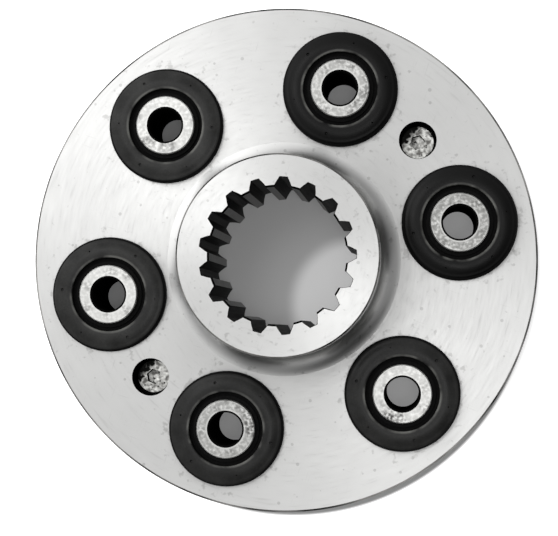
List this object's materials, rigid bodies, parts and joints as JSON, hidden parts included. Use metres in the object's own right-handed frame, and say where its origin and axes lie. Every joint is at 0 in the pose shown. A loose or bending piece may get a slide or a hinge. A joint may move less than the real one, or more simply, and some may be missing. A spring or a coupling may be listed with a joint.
{
  "type": "flexible drive coupling",
  "caption": "Round steel flange with a splined hub and a ring of rubber bushes on steel sleeves: takes the drive of a bolted flange to a pump shaft.",
  "frame": {"origin": "on the hub's axis, in the plane of the sleeves' rear ends, on which the coupling lies", "axes": "+Z along the hub's axis, out of the hub's splined mouth; +X through the first bush"},
  "size_m": [0.13, 0.13, 0.0425],
  "materials": {
    "turned_steel": "turned bright, satin",
    "sleeve_steel": "cut tube, bright and scratched",
    "bush_rubber": "moulded, satin black",
    "screw_steel": "plated, dull bright"
  },
  "bodies": {
    "root": {"flange_hub": "turned_steel", "sleeve_1": "sleeve_steel", "sleeve_2": "sleeve_steel", "sleeve_3": "sleeve_steel", "sleeve_4": "sleeve_steel", "sleeve_5": "sleeve_steel", "sleeve_6": "sleeve_steel", "front_bush_1": "bush_rubber", "front_bush_2": "bush_rubber", "front_bush_3": "bush_rubber", "front_bush_4": "bush_rubber", "front_bush_5": "bush_rubber", "front_bush_6": "bush_rubber", "rear_bush_1": "bush_rubber", "rear_bush_2": "bush_rubber", "rear_bush_3": "bush_rubber", "rear_bush_4": "bush_rubber", "rear_bush_5": "bush_rubber", "rear_bush_6": "bush_rubber", "set_screw_1": "screw_steel", "set_screw_2": "screw_steel"}
  },
  "joints": []
}
